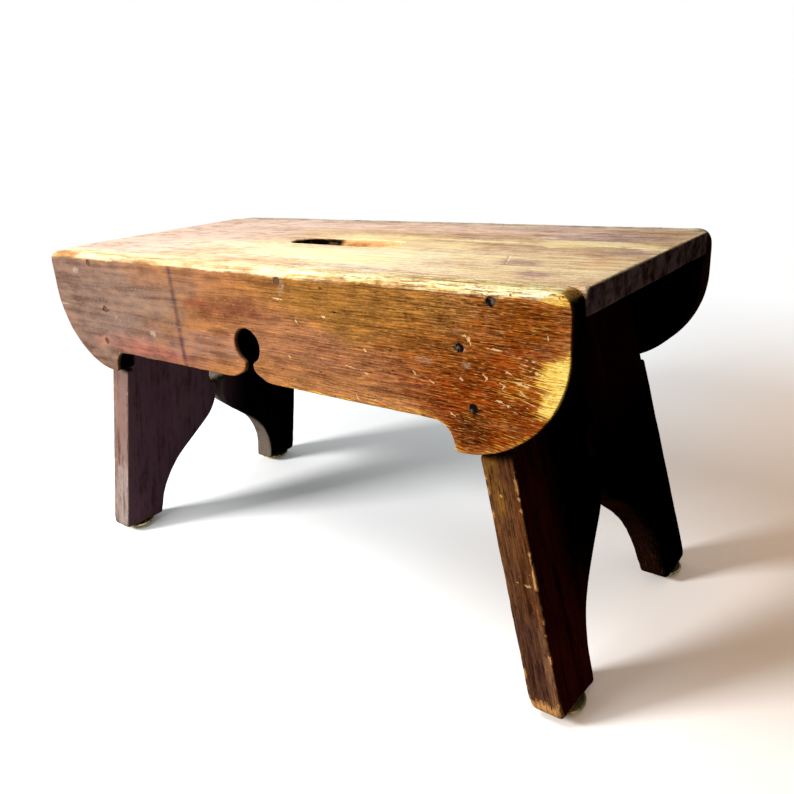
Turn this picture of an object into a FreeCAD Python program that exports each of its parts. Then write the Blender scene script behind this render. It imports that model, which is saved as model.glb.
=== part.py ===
import FreeCAD, Part
import Sketcher
import os

# A small wooden bench of five boards. The seat lies between two aprons, flush with their tops.
# Two splayed leg boards stand between the aprons under the seat, and widen below them at a
# shoulder. Nails go through the aprons into the legs and into the seat's edges. Each foot
# stands on a domed glide with a nail of its own.
# Frame: +X along the length, the front apron at -Y, +Z up, the floor at zero under the middle.

doc = FreeCAD.newDocument("Stool")
tolerance = 0.001  # how near a point has to be to count as the same, while edges are found

# Driving sizes in millimetres, angles in degrees.
SIZES = [
    ("stoolHeight", 222.7, "floor to the top of the seat"),
    ("stoolWidth", 187.5, "across the outer faces of the aprons"),
    # aprons
    ("apronLength", 400, "end to end"),
    ("apronThickness", 13.4, "board"),
    ("apronCornerRadius", 8, "worn top corners"),
    ("lobeDepth", 81.6, "top edge to the bottom of the rounded ends"),
    ("middleDepth", 67, "top edge to the lower edge between the coves"),
    ("lobeCutAcross", 36, "end of the board to the foot of the slant that the end's curve rounds"),
    ("lobeCutUp", 31.7, "height of that slant"),
    ("lobeCurve", 56, "radius that rounds the slant"),
    ("lobeWidth", 59.7, "end of the board to the cove"),
    ("coveCurve", 12, "radius in the cove"),
    ("lobeToeCurve", 2, "radius at the inner corner of the rounded end"),
    ("apronHoleDrop", 46.3, "top edge to the middle of the keyhole's bore"),
    ("apronHoleRadius", 10.4, "keyhole's bore"),
    ("apronHoleShift", -1, "keyhole from the middle of the board"),
    ("apronNeckWidth", 6, "slot below the bore"),
    ("flareWidth", 11, "slot's side to the foot of its flare"),
    ("flareRise", 5.8, "height of the flare"),
    ("flareNeckCurve", 6, "radius between the slot and the flare"),
    ("flareEdgeCurve", 20, "radius between the flare and the lower edge"),
    # seat
    ("seatThickness", 12.8, "board"),
    ("seatOverhang", 1, "seat past each end of the aprons"),
    ("seatArris", 1.5, "worn arris of the seat's ends"),
    ("handSlotLength", 86, "hand slot"),
    ("handSlotWidth", 24, "hand slot"),
    ("handSlotAlong", 2.5, "slot's middle from the seat's middle, along the seat"),
    ("handSlotAcross", -5, "slot's middle from the seat's middle, across the seat"),
    # legs
    ("legThickness", 18, "board"),
    ("legSplay", 13, "lean from upright"),
    ("rightLegInset", 67.9, "end of the aprons to the inner face at the seat's underside"),
    ("leftLegInset", 72.9, "end of the aprons to the inner face at the seat's underside"),
    ("shoulderGap", 3.6, "bottom of the rounded ends to the leg's shoulder"),
    ("shoulderStep", 4.6, "apron's inner face to the leg's edge at the shoulder"),
    ("footSpread", 7, "how much wider each side is at the floor than at the shoulder"),
    ("footCurve", 3, "radius of the foot's outer corner"),
    ("leftArchHalfWidth", 60.5, "half the arch at the floor"),
    ("rightArchHalfWidth", 56.5, "half the arch at the floor"),
    ("archShift", 2, "arch from the middle of the board"),
    ("archCornerHeight", 33.4, "height where the arch's side starts to lean in"),
    ("archPeakHeight", 81.1, "height where the arch meets its slot"),
    ("archCurve", 66, "radius of the arch's side"),
    ("archPeakCurve", 30, "radius between the arch and its slot"),
    ("legHoleHeight", 112.4, "foot to the middle of the keyhole's bore, along the board"),
    ("legHoleRadius", 10.4, "keyhole's bore"),
    ("legHoleShift", -1, "keyhole from the middle of the board"),
    ("legNeckWidth", 6, "slot below the bore"),
    # glides
    ("glideDiameter", 24, "domed cap"),
    ("glideRise", 4.5, "height of the cap"),
    ("glideRim", 1.2, "straight rim of the cap"),
    ("glideWall", 1, "sheet of the cap"),
    ("glideNailDiameter", 2.4, "shank"),
    ("glideNailLength", 16, "shank above the cap"),
    ("glideNailHeadDiameter", 8, "disc that holds the cap"),
    # nails
    ("nailDiameter", 2.2, "shank"),
    ("nailLength", 38, "head to point"),
    ("nailHeadDiameter", 4.6, "head"),
    ("nailHeadThickness", 1.2, "head"),
    ("nailPointLength", 4, "taper of the point"),
    ("nailSetDepth", 0.3, "head below the apron's face"),
    ("nailBoreGap", 0.05, "bore round the shank and round the head, all round"),
    ("rightUpperNailDrop", 29.3, "top of the apron to the upper nail in the right leg"),
    ("rightLowerNailDrop", 57.7, "top of the apron to the lower nail in the right leg"),
    ("leftUpperNailDrop", 37.3, "top of the apron to the upper nail in the left leg"),
    ("leftLowerNailDrop", 60.2, "top of the apron to the lower nail in the left leg"),
    ("rightSeatNailInset", 38, "end of the aprons to the nail in the seat's edge"),
    ("middleSeatNailShift", 30, "nail in the seat's edge, from the middle"),
    ("leftSeatNailInset", 48, "end of the aprons to the nail in the seat's edge"),
    # cuts
    ("overrun", 10, "how far a cut runs past what it cuts"),
]

# Places worked out from the sizes.
PLACES = [
    ("apronOuter", "Sizes.stoolWidth / 2", "outer face of an apron"),
    ("apronInner", "Sizes.stoolWidth / 2 - Sizes.apronThickness", "inner face of an apron"),
    ("apronEnd", "Sizes.apronLength / 2", "end of an apron"),
    ("seatEnd", "Sizes.apronLength / 2 + Sizes.seatOverhang", "end of the seat"),
    ("seatUnder", "Sizes.stoolHeight - Sizes.seatThickness", "underside of the seat"),
    ("seatMiddle", "Sizes.stoolHeight - Sizes.seatThickness / 2", "middle of the seat's edge"),
    ("lobeBottom", "Sizes.stoolHeight - Sizes.lobeDepth", "bottom of the rounded ends"),
    ("middleBottom", "Sizes.stoolHeight - Sizes.middleDepth", "apron's lower edge in the middle"),
    ("coveReach", "Places.apronEnd - Sizes.lobeWidth", "middle of the board to the cove"),
    ("lobeSlantTop", "Sizes.stoolHeight - Sizes.lobeDepth + Sizes.lobeCutUp", "top of the slant"),
    ("lobeSlantFoot", "Sizes.apronLength / 2 - Sizes.lobeCutAcross", "foot of the slant"),
    ("apronHole", "Sizes.stoolHeight - Sizes.apronHoleDrop", "height of the apron's keyhole"),
    ("lean", "tan(Sizes.legSplay)", "run of a leg for each unit of height"),
    ("legAcross", "Sizes.legThickness / cos(Sizes.legSplay)", "leg's thickness, level"),
    ("legDrop", "Places.seatUnder - Sizes.glideRise", "height of a leg"),
    ("shoulderHalf", "Places.apronInner + Sizes.shoulderStep", "leg's half width at the shoulder"),
    ("footHalf", "Places.shoulderHalf + Sizes.footSpread", "leg's half width at the foot"),
    ("shoulderUp", "(Places.lobeBottom - Sizes.shoulderGap - Sizes.glideRise) / cos(Sizes.legSplay)",
     "foot to the shoulder, along the board"),
    ("legUp", "Places.legDrop / cos(Sizes.legSplay)", "height of a leg along the board"),
    ("footOverrun", "Places.footHalf + Sizes.footSpread * Sizes.overrun / Places.shoulderUp",
     "leg's half width where a cut ends below the foot"),
    ("lobeTurn", "atan(Sizes.lobeCutAcross / Sizes.lobeCutUp)", "upright to slant"),
    ("lobeSlant", "sqrt(Sizes.lobeCutAcross ^ 2 + Sizes.lobeCutUp ^ 2)", "length of the slant"),
    ("lobeTurns", "tan(Places.lobeTurn / 2) + tan(45 deg - Places.lobeTurn / 2)",
     "length of slant that each unit of its two curves takes"),
    ("lobeFlat", "(Sizes.lobeWidth - Sizes.lobeCutAcross - Sizes.lobeToeCurve)"
     " / tan(45 deg - Places.lobeTurn / 2)", "curve that fits on the flat beside the cove"),
    ("lobeSide", "(Sizes.lobeDepth - Sizes.lobeCutUp - Sizes.apronCornerRadius)"
     " / tan(Places.lobeTurn / 2)", "curve that fits on the upright end"),
    ("flareTurn", "atan(Sizes.flareWidth / Sizes.flareRise)", "upright to flare"),
    ("flareSlant", "sqrt(Sizes.flareWidth ^ 2 + Sizes.flareRise ^ 2)", "length of the flare"),
    ("archRise", "Sizes.archPeakHeight - Sizes.archCornerHeight", "rise of the arch's lean"),
    ("archNeck", "Sizes.legHoleHeight - Sizes.legHoleRadius - Sizes.archPeakHeight",
     "straight slot between the arch and the keyhole's bore"),
    ("domeRise", "Sizes.glideRise - Sizes.glideRim", "height of the cap's dome"),
    ("domeRadius", "(Sizes.glideDiameter ^ 2 / 4 + Places.domeRise ^ 2) / (2 * Places.domeRise)",
     "ball that the dome is part of"),
    ("hollowRadius", "Places.domeRadius - Sizes.glideWall", "ball of the dome's inside"),
    ("glideHeadSeat", "Places.domeRadius"
     " - sqrt(Places.hollowRadius ^ 2 - Sizes.glideNailHeadDiameter ^ 2 / 4)",
     "height where the nail's disc rests in the cap"),
    ("headBore", "Sizes.nailHeadDiameter / 2 + Sizes.nailBoreGap", "radius of the bore for a head"),
    ("shankBore", "Sizes.nailDiameter / 2 + Sizes.nailBoreGap", "radius of the bore for a shank"),
    ("headBoreDepth", "Sizes.nailSetDepth + Sizes.nailHeadThickness", "depth of the head's bore"),
    ("nailReach", "Sizes.nailSetDepth + Sizes.nailLength - Sizes.apronThickness",
     "nail's depth past the apron's inner face"),
    ("glideBore", "Sizes.glideNailDiameter / 2 + Sizes.nailBoreGap", "radius of the bore in a foot"),
    ("glideBoreDepth", "Sizes.glideNailLength + Sizes.nailBoreGap", "depth of the bore in a foot"),
]
for word in ("left", "right"):
    PLACES += [
        (f"{word}LegTop", f"Places.apronEnd - Sizes.{word}LegInset",
         "inner face at the leg's top, from the middle"),
        (f"{word}Foot", f"Places.{word}LegTop + Places.lean * Places.legDrop",
         "inner edge of the foot, from the middle"),
        (f"{word}FootMiddle", f"Places.{word}Foot + Places.legAcross / 2",
         "middle of the foot's thickness, from the middle"),
        (f"{word}FootAcross", f"(Places.footHalf + Sizes.{word}ArchHalfWidth) / 2",
         "middle of the foot's width, from the middle"),
        (f"{word}ArchRun", f"Sizes.{word}ArchHalfWidth - Sizes.legNeckWidth / 2",
         "run of the arch's lean"),
        (f"{word}ArchSlant", f"sqrt(Places.{word}ArchRun ^ 2 + Places.archRise ^ 2)",
         "length of the arch's lean"),
        (f"{word}ArchHalfTurn", f"tan(45 deg - atan(Places.archRise / Places.{word}ArchRun) / 2)",
         "length of wood that each unit of the arch's curve takes on either side"),
    ]


def addSheet(name, rows, sign):
    sheet = doc.addObject("Spreadsheet::Sheet", name)
    for i, (alias, value, note) in enumerate(rows, start=1):
        sheet.set(f"A{i}", alias)
        sheet.set(f"B{i}", f"{sign}{value}")
        sheet.setAlias(f"B{i}", alias)
        sheet.set(f"C{i}", note)
        if sign:
            doc.recompute()
    doc.recompute()
    return sheet


sizes = addSheet("Sizes", SIZES, "")
places = addSheet("Places", PLACES, "=")


def addBody(name):
    body = doc.addObject("PartDesign::Body", name)
    body.Label = name
    return body


def plane(body, role):
    return [f for f in body.Origin.OriginFeatures if f.Role == role][0]


# A sketch on one of the body's own planes, moved along the plane's normal by an expression.
def addSketch(body, label, role, offset="0"):
    sketch = body.newObject("Sketcher::SketchObject", label)
    sketch.AttachmentSupport = (plane(body, role), [""])
    sketch.MapMode = "FlatFace"
    sketch.setExpression("AttachmentOffset.Base.z", offset)
    return sketch


# Puts a sketch of a leg on the board's inner face: X is across the board, Y goes up along it,
# and the origin is the inner edge of the foot.
def leanSketch(sketch, side, foot):
    sketch.AttachmentOffset = FreeCAD.Placement(
        FreeCAD.Vector(), FreeCAD.Rotation(FreeCAD.Vector(-side, 0, 0), 1))
    sketch.setExpression("AttachmentOffset.Base.y", "Sizes.glideRise")
    sketch.setExpression("AttachmentOffset.Base.z", f"{side} * {foot}")
    sketch.setExpression("AttachmentOffset.Rotation.Angle", "Sizes.legSplay")


# Ties one point of a sketch's geometry to the origin by two expressions.
def tiePoint(sketch, geo, pos, x, y):
    for axis, value in (("X", x), ("Y", y)):
        index = sketch.addConstraint(
            Sketcher.Constraint("Distance" + axis, -1, 1, geo, pos, 1.0))
        name = f"p{geo}{axis}"
        sketch.renameConstraint(index, name)
        sketch.setExpression("Constraints." + name, value)


# A closed outline of straight lines through corners that are given as pairs of expressions.
def outline(sketch, corners):
    first = sketch.GeometryCount
    count = len(corners)
    ends = [FreeCAD.Vector(i, i * i, 0) for i in range(count)]
    for i in range(count):
        sketch.addGeometry(Part.LineSegment(ends[i], ends[(i + 1) % count]), False)
    for i in range(count):
        sketch.addConstraint(Sketcher.Constraint(
            "Coincident", first + i, 2, first + (i + 1) % count, 1))
    for i, (x, y) in enumerate(corners):
        tiePoint(sketch, first + i, 1, x, y)


def circle(sketch, x, y, radius):
    geo = sketch.addGeometry(Part.Circle(FreeCAD.Vector(), FreeCAD.Vector(0, 0, 1), 1), False)
    index = sketch.addConstraint(Sketcher.Constraint("Radius", geo, 1.0))
    sketch.renameConstraint(index, f"r{geo}")
    sketch.setExpression(f"Constraints.r{geo}", radius)
    tiePoint(sketch, geo, 3, x, y)


def pad(body, sketch, label, length, symmetric=False):
    feature = body.newObject("PartDesign::Pad", label)
    feature.Profile = sketch
    feature.SideType = "Symmetric" if symmetric else "One side"
    feature.setExpression("Length", length)
    doc.recompute()
    return feature


# A cut from the sketch, to a depth or, with no depth, through everything both ways. It has to
# take wood away, so the volume is compared.
def cut(body, sketch, label, depth=None, turned=False):
    before = body.Shape.Volume
    feature = body.newObject("PartDesign::Pocket", label)
    feature.Profile = sketch
    if depth is None:
        feature.Type = "ThroughAll"
        feature.SideType = "Symmetric"
    else:
        feature.Reversed = turned
        feature.setExpression("Length", depth)
    doc.recompute()
    if body.Shape.Volume >= before:
        raise RuntimeError(f"{label} cuts nothing")
    return feature


def fillet(body, label, names, radius):
    base = body.Tip
    feature = body.newObject("PartDesign::Fillet", label)
    feature.Base = (base, names)
    feature.setExpression("Radius", radius)
    doc.recompute()
    return feature


# Rounds the straight edges that run along a sketch's normal through some of its corners.
def roundCorners(body, sketch, label, corners, radius):
    normal = sketch.Placement.Rotation.multVec(FreeCAD.Vector(0, 0, 1))
    names = []
    for corner in corners:
        at = sketch.Placement.multVec(sketch.getPoint(corner, 1))
        for i, edge in enumerate(body.Shape.Edges, start=1):
            if edge.Curve.TypeId != "Part::GeomLine":
                continue
            line = edge.Curve
            along = abs(line.Direction.normalize().dot(normal))
            if along > 0.9999 and at.distanceToLine(line.Location, line.Direction) < tolerance:
                names.append(f"Edge{i}")
    if not names:
        raise RuntimeError(f"{label} finds no edge")
    return fillet(body, label, names, radius)


# Names of the straight edges whose two ends both pass a test.
def edgesWhere(body, test):
    return [f"Edge{i}" for i, edge in enumerate(body.Shape.Edges, start=1)
            if len(edge.Vertexes) == 2 and all(test(v.Point) for v in edge.Vertexes)]


def size(name):
    return getattr(sizes, name)


def place(name):
    return getattr(places, name)


# Nail places, as pairs of expressions for X and Z. A leg's nails are at the middle of its board.
def legNail(side, word, drop):
    height = f"(Sizes.stoolHeight - Sizes.{drop})"
    return (f"{side} * (Places.{word}LegTop + Places.lean * (Places.seatUnder - {height})"
            " + Places.legAcross / 2)", height)


rightLegNails = [legNail(1, "right", drop)
                 for drop in ("rightUpperNailDrop", "rightLowerNailDrop")]
leftLegNails = [legNail(-1, "left", drop)
                for drop in ("leftUpperNailDrop", "leftLowerNailDrop")]
seatNails = [(x, "Places.seatMiddle") for x in (
    "Sizes.leftSeatNailInset - Places.apronEnd", "Sizes.middleSeatNailShift",
    "Places.apronEnd - Sizes.rightSeatNailInset")]

# The XZ plane's normal points to -Y, so an offset along it is a distance towards the front.
FRONT, REAR = 1, -1
HANDS = (("front", FRONT), ("rear", REAR))


# Bores on one face across Y, from the named place, going into the wood behind that face.
def boreFor(body, label, hand, face, nails, radius, depth):
    sketch = addSketch(body, f"{label}_sketch", "XZ_Plane", f"{hand} * Places.{face}")
    for x, z in nails:
        circle(sketch, x, z, radius)
    doc.recompute()
    cut(body, sketch, label, depth, turned=hand == REAR)


# An apron on edge: round-bottomed ends, a cove beside each, and a keyhole in the middle whose
# slot flares into the lower edge.
def apron(name, hand):
    body = addBody(name)
    offset = "Places.apronInner" if hand == FRONT else "-Places.apronOuter"
    board = addSketch(body, f"{name}_outline", "XZ_Plane", offset)
    half = [
        ("Places.apronEnd", "Sizes.stoolHeight"),
        ("Places.apronEnd", "Places.lobeSlantTop"),
        ("Places.lobeSlantFoot", "Places.lobeBottom"),
        ("Places.coveReach", "Places.lobeBottom"),
        ("Places.coveReach", "Places.middleBottom"),
    ]
    slot = [
        ("(Sizes.apronNeckWidth / 2 + Sizes.flareWidth)", "Places.middleBottom"),
        ("Sizes.apronNeckWidth / 2", "Places.middleBottom + Sizes.flareRise"),
        ("Sizes.apronNeckWidth / 2", "Places.apronHole"),
    ]
    right = half + [(f"Sizes.apronHoleShift + {x}", z) for x, z in slot]
    left = [(f"-{x}", z) for x, z in half] + [(f"Sizes.apronHoleShift - {x}", z) for x, z in slot]
    outline(board, right + left[::-1])
    doc.recompute()
    pad(body, board, f"{name}_board", "Sizes.apronThickness")

    last = len(right + left) - 1
    both = lambda corner: (corner, last - corner)
    top, slantTop, slantFoot, toe, cove, flareEdge, flareNeck = range(7)
    roundCorners(body, board, f"{name}_ends", both(slantTop) + both(slantFoot),
                 "min(Sizes.lobeCurve; 0.98 * Places.lobeSlant / Places.lobeTurns;"
                 " 0.98 * Places.lobeFlat; 0.98 * Places.lobeSide)")
    roundCorners(body, board, f"{name}_top_corners", both(top), "Sizes.apronCornerRadius")
    roundCorners(body, board, f"{name}_toes", both(toe), "Sizes.lobeToeCurve")
    roundCorners(body, board, f"{name}_coves", both(cove),
                 "min(Sizes.coveCurve; 0.97 * (Sizes.lobeDepth - Sizes.middleDepth"
                 " - Sizes.lobeToeCurve))")
    roundCorners(body, board, f"{name}_flare_foot", both(flareEdge),
                 "min(Sizes.flareEdgeCurve; 0.6 * Places.flareSlant"
                 " / tan(45 deg - Places.flareTurn / 2))")
    roundCorners(body, board, f"{name}_flare_neck", both(flareNeck),
                 "min(Sizes.flareNeckCurve; 0.35 * Places.flareSlant / tan(Places.flareTurn / 2))")
    hole = addSketch(body, f"{name}_hole_sketch", "XZ_Plane", offset)
    circle(hole, "Sizes.apronHoleShift", "Places.apronHole", "Sizes.apronHoleRadius")
    doc.recompute()
    cut(body, hole, f"{name}_hole")

    nails = leftLegNails + rightLegNails + seatNails
    boreFor(body, f"{name}_head_bores", hand, "apronOuter", nails, "Places.headBore",
            "Places.headBoreDepth")
    boreFor(body, f"{name}_shank_bores", hand, "apronOuter", nails, "Places.shankBore",
            "Sizes.apronThickness + Sizes.overrun")
    return body


# The seat fits between the aprons and stands a little proud of their ends.
def seat(name):
    body = addBody(name)
    board = addSketch(body, f"{name}_outline", "XY_Plane", "Places.seatUnder")
    outline(board, [(f"{x}Places.seatEnd", f"{y}Places.apronInner")
                    for x, y in (("", ""), ("-", ""), ("-", "-"), ("", "-"))])
    doc.recompute()
    pad(body, board, f"{name}_board", "Sizes.seatThickness")

    # the slot's straight part, then its two round ends
    straight = "(Sizes.handSlotLength - Sizes.handSlotWidth) / 2"
    slot = addSketch(body, f"{name}_slot_sketch", "XY_Plane", "Places.seatUnder")
    outline(slot, [(f"Sizes.handSlotAlong {x} {straight}",
                    f"Sizes.handSlotAcross {y} Sizes.handSlotWidth / 2")
                   for x, y in (("+", "+"), ("-", "+"), ("-", "-"), ("+", "-"))])
    doc.recompute()
    cut(body, slot, f"{name}_slot")
    ends = addSketch(body, f"{name}_slot_ends_sketch", "XY_Plane", "Places.seatUnder")
    for x in ("+", "-"):
        circle(ends, f"Sizes.handSlotAlong {x} {straight}", "Sizes.handSlotAcross",
               "Sizes.handSlotWidth / 2")
    doc.recompute()
    cut(body, ends, f"{name}_slot_ends")

    arrises = edgesWhere(body, lambda point: abs(abs(point.x) - place("seatEnd")) < tolerance)
    arrises = [n for n in arrises
               if body.Shape.getElement(n).Length > size("stoolWidth") / 2]
    fillet(body, f"{name}_arrises", arrises, "min(Sizes.seatArris; 0.45 * Sizes.seatThickness)")
    for word, hand in HANDS:
        boreFor(body, f"{name}_{word}_bores", hand, "apronInner", seatNails, "Places.shankBore",
                "Places.nailReach + Sizes.nailBoreGap")
    return body


# A leg board leans out towards the floor and is cut level at both ends. Its upper part fits
# between the aprons. At the shoulder it widens, and it goes on widening to the floor. A pointed
# arch is cut up into it, with a slot and a bore above, all square to its face.
def leg(name, side, word, nails):
    body = addBody(name)
    top, foot = f"Places.{word}LegTop", f"Places.{word}Foot"
    board = addSketch(body, f"{name}_side", "XZ_Plane")
    outline(board, [
        (f"{side} * {top}", "Places.seatUnder"),
        (f"{side} * ({top} + Places.legAcross)", "Places.seatUnder"),
        (f"{side} * ({foot} + Places.legAcross)", "Sizes.glideRise"),
        (f"{side} * {foot}", "Sizes.glideRise"),
    ])
    doc.recompute()
    pad(body, board, f"{name}_board", "2 * Places.footOverrun", symmetric=True)

    flanks = addSketch(body, f"{name}_flanks_sketch", "YZ_Plane")
    leanSketch(flanks, side, foot)
    for hand in ("", "-"):
        outline(flanks, [
            (f"{hand}Places.apronInner", "Places.legUp + Sizes.overrun"),
            (f"{hand}Places.apronInner", "Places.shoulderUp"),
            (f"{hand}Places.shoulderHalf", "Places.shoulderUp"),
            (f"{hand}Places.footOverrun", "-Sizes.overrun"),
            (f"{hand}(Places.footOverrun + Sizes.overrun)", "-Sizes.overrun"),
            (f"{hand}(Places.footOverrun + Sizes.overrun)", "Places.legUp + Sizes.overrun"),
        ])
    doc.recompute()
    cut(body, flanks, f"{name}_flanks")

    arch = addSketch(body, f"{name}_arch_sketch", "YZ_Plane")
    leanSketch(arch, side, foot)
    right = [
        (f"Sizes.archShift + Sizes.{word}ArchHalfWidth", "-Sizes.overrun"),
        (f"Sizes.archShift + Sizes.{word}ArchHalfWidth", "Sizes.archCornerHeight"),
        ("Sizes.legHoleShift + Sizes.legNeckWidth / 2", "Sizes.archPeakHeight"),
        ("Sizes.legHoleShift + Sizes.legNeckWidth / 2", "Sizes.legHoleHeight"),
    ]
    left = [(x.replace(" + ", " - "), z) for x, z in right]
    outline(arch, right + left[::-1])
    doc.recompute()
    cut(body, arch, f"{name}_arch")
    corner, peak = 1, 2
    last = len(right + left) - 1
    halfTurn = f"Places.{word}ArchHalfTurn"
    roundCorners(body, arch, f"{name}_arch_sides", (corner, last - corner),
                 f"min(Sizes.archCurve; 0.97 * Sizes.archCornerHeight / {halfTurn};"
                 f" 0.65 * Places.{word}ArchSlant / {halfTurn})")
    roundCorners(body, arch, f"{name}_arch_peak", (peak, last - peak),
                 f"min(Sizes.archPeakCurve; 0.97 * Places.archNeck / {halfTurn};"
                 f" 0.3 * Places.{word}ArchSlant / {halfTurn})")
    hole = addSketch(body, f"{name}_hole_sketch", "YZ_Plane")
    leanSketch(hole, side, foot)
    circle(hole, "Sizes.legHoleShift", "Sizes.legHoleHeight", "Sizes.legHoleRadius")
    doc.recompute()
    cut(body, hole, f"{name}_hole")

    corners = edgesWhere(body, lambda point: abs(point.z - size("glideRise")) < tolerance
                         and abs(point.y) > place("shoulderHalf"))
    fillet(body, f"{name}_foot_corners", corners,
           f"min(Sizes.footCurve; 0.3 * (Places.footHalf - Sizes.{word}ArchHalfWidth))")
    for face, hand in HANDS:
        boreFor(body, f"{name}_{face}_bores", hand, "apronInner", nails, "Places.shankBore",
                "Places.nailReach + Sizes.nailBoreGap")
    bores = addSketch(body, f"{name}_glide_bores_sketch", "XY_Plane", "Sizes.glideRise")
    for face, hand in HANDS:
        circle(bores, f"{side} * Places.{word}FootMiddle", f"{-hand} * Places.{word}FootAcross",
               "Places.glideBore")
    doc.recompute()
    cut(body, bores, f"{name}_glide_bores", "Places.glideBoreDepth", turned=True)
    return body


def cylinder(name, radius, length, bottom):
    solid = doc.addObject("Part::Cylinder", name)
    solid.setExpression("Radius", radius)
    solid.setExpression("Height", length)
    solid.setExpression("Placement.Base.z", bottom)
    return solid


# A nail along Z with the top of its head at zero and its point down.
def nailShape(name, head, headThickness, shank, length, point):
    disc = cylinder(f"{name}_head", f"{head} / 2", headThickness, f"-{headThickness}")
    rod = cylinder(f"{name}_shank", f"{shank} / 2", f"{length} - {point}", f"-({length} - {point})")
    tip = doc.addObject("Part::Cone", f"{name}_point")
    tip.setExpression("Radius2", f"{shank} / 2")
    tip.Radius1 = 0
    tip.setExpression("Height", point)
    tip.setExpression("Placement.Base.z", f"-{length}")
    nail = doc.addObject("Part::MultiFuse", name)
    nail.Shapes = [disc, rod, tip]
    return nail


# The nails through one apron, as one group of separate nails.
def apronNails(name, hand, nails):
    group = []
    for i, (x, z) in enumerate(nails, start=1):
        nail = nailShape(f"{name}_{i}", "Sizes.nailHeadDiameter", "Sizes.nailHeadThickness",
                         "Sizes.nailDiameter", "Sizes.nailLength", "Sizes.nailPointLength")
        nail.Placement = FreeCAD.Placement(
            FreeCAD.Vector(), FreeCAD.Rotation(FreeCAD.Vector(hand, 0, 0), 90))
        nail.setExpression("Placement.Base.x", x)
        nail.setExpression("Placement.Base.y",
                           f"{-hand} * (Places.apronOuter - Sizes.nailSetDepth)")
        nail.setExpression("Placement.Base.z", z)
        group.append(nail)
    nodes = doc.addObject("Part::Compound", name)
    nodes.Links = group
    nodes.Label = name
    return nodes


def ball(name, radius):
    solid = doc.addObject("Part::Sphere", name)
    solid.setExpression("Radius", radius)
    solid.setExpression("Placement.Base.z", "Places.domeRadius")
    return solid


# A domed cap of sheet metal: a shallow ball end with a short straight rim, open at the top.
def glideCap(name, x, y):
    dome = doc.addObject("Part::Common", f"{name}_dome")
    dome.Base = ball(f"{name}_ball", "Places.domeRadius")
    dome.Tool = cylinder(f"{name}_blank", "Sizes.glideDiameter / 2", "Sizes.glideRise", "0")
    hollow = doc.addObject("Part::Common", f"{name}_hollow")
    hollow.Base = ball(f"{name}_inner_ball", "Places.hollowRadius")
    hollow.Tool = cylinder(f"{name}_inside", "Sizes.glideDiameter / 2 - Sizes.glideWall",
                           "Sizes.glideRise", "0")
    cap = doc.addObject("Part::Cut", name)
    cap.Base = dome
    cap.Tool = hollow
    cap.Label = name
    cap.setExpression("Placement.Base.x", x)
    cap.setExpression("Placement.Base.y", y)
    return cap


# The glide's nail stands point up, and its disc fills the cap under the foot.
def glideNail(name, x, y):
    disc = cylinder(f"{name}_disc", "Sizes.glideNailHeadDiameter / 2",
                    "Sizes.glideRise - Places.glideHeadSeat", "Places.glideHeadSeat")
    rod = cylinder(f"{name}_shank", "Sizes.glideNailDiameter / 2",
                   "Sizes.glideNailLength - Sizes.nailPointLength", "Sizes.glideRise")
    tip = doc.addObject("Part::Cone", f"{name}_point")
    tip.setExpression("Radius1", "Sizes.glideNailDiameter / 2")
    tip.Radius2 = 0
    tip.setExpression("Height", "Sizes.nailPointLength")
    tip.setExpression("Placement.Base.z",
                      "Sizes.glideRise + Sizes.glideNailLength - Sizes.nailPointLength")
    nail = doc.addObject("Part::MultiFuse", name)
    nail.Shapes = [disc, rod, tip]
    nail.Label = name
    nail.setExpression("Placement.Base.x", x)
    nail.setExpression("Placement.Base.y", y)
    return nail


pieces = [
    seat("seat_board"),
    apron("front_apron", FRONT),
    apron("rear_apron", REAR),
    leg("left_leg", -1, "left", leftLegNails),
    leg("right_leg", 1, "right", rightLegNails),
]
for word, hand in HANDS:
    pieces.append(apronNails(f"{word}_leg_nails", hand, leftLegNails + rightLegNails))
    pieces.append(apronNails(f"{word}_seat_nails", hand, seatNails))
    for end, side in (("left", -1), ("right", 1)):
        at = (f"{side} * Places.{end}FootMiddle", f"{-hand} * Places.{end}FootAcross")
        pieces.append(glideCap(f"glide_cap_{word}_{end}", *at))
        pieces.append(glideNail(f"glide_nail_{word}_{end}", *at))
doc.recompute()

for item in doc.Objects:
    if "Invalid" in item.State or "Error" in item.State:
        raise RuntimeError(f"{item.Label} failed: {item.State}")
for piece in pieces:
    if piece.Shape.isNull() or not piece.Shape.isValid():
        raise RuntimeError(f"{piece.Label} has no valid shape")
os.makedirs("parts", exist_ok=True)
for piece in pieces:
    piece.Shape.exportStep(f"parts/{piece.Label}.step")
    box = piece.Shape.BoundBox
    print(f"{piece.Label}: {len(piece.Shape.Solids)} solids, {piece.Shape.Volume:.0f} mm3, "
          f"x {box.XMin:.1f} to {box.XMax:.1f}, y {box.YMin:.1f} to {box.YMax:.1f}, "
          f"z {box.ZMin:.1f} to {box.ZMax:.1f}")
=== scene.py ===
import itertools
from math import cos, hypot, radians, sin

import bpy
import numpy as np
from mathutils import Matrix, Vector
from mathutils.geometry import delaunay_2d_cdt


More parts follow.
